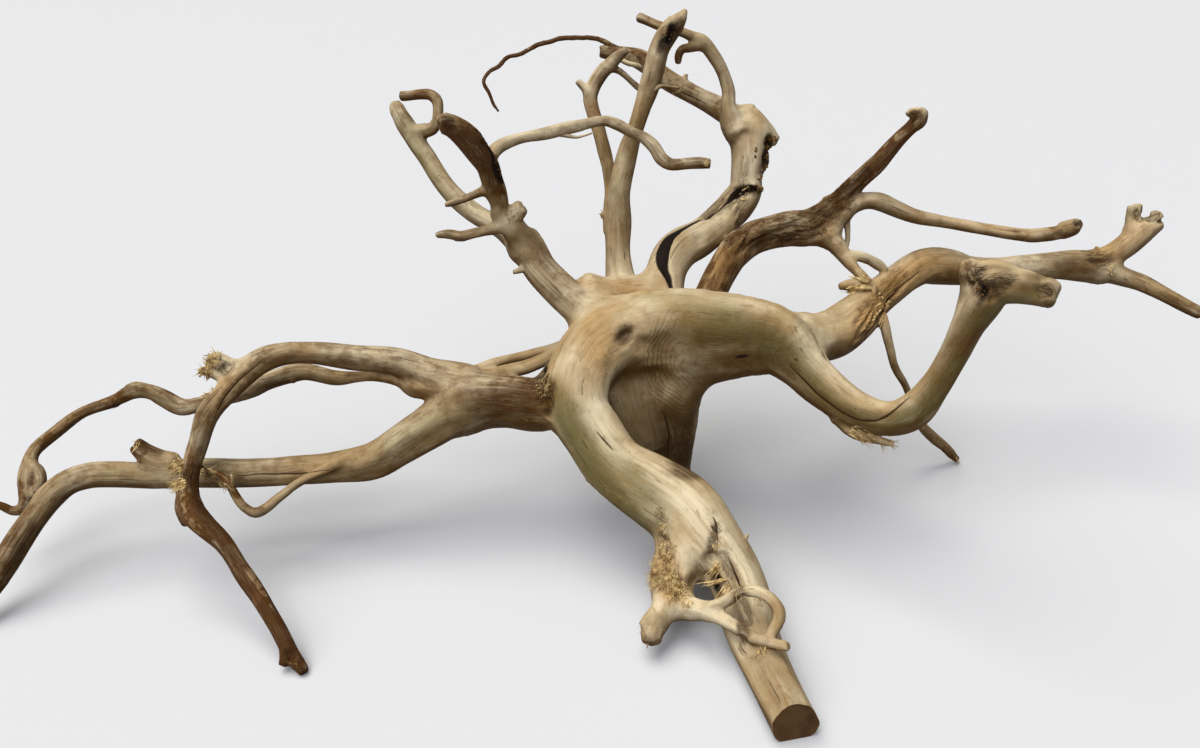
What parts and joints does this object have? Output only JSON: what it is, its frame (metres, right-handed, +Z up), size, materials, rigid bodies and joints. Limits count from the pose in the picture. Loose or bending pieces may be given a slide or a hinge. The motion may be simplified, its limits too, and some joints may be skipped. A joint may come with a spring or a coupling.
{
  "type": "spiderwood root",
  "caption": "Bare branching root stock with a sawn stem and long crooked roots, standing on a flat sawn foot as decoration for a tank or terrarium.",
  "frame": {"origin": "centre of the bounding box in plan, on the level of the sawn foot that the root stands on", "axes": "+X to the right along the root's longest reach, +Y away from the sawn stem to the back, +Z up"},
  "size_m": [0.93, 0.4494, 0.3579],
  "materials": {
    "bare_wood": "dry, bleached and bare of bark, matt with a faint sheen on worn ridges"
  },
  "bodies": {
    "root": {"spiderwood_root": "bare_wood"}
  },
  "joints": []
}
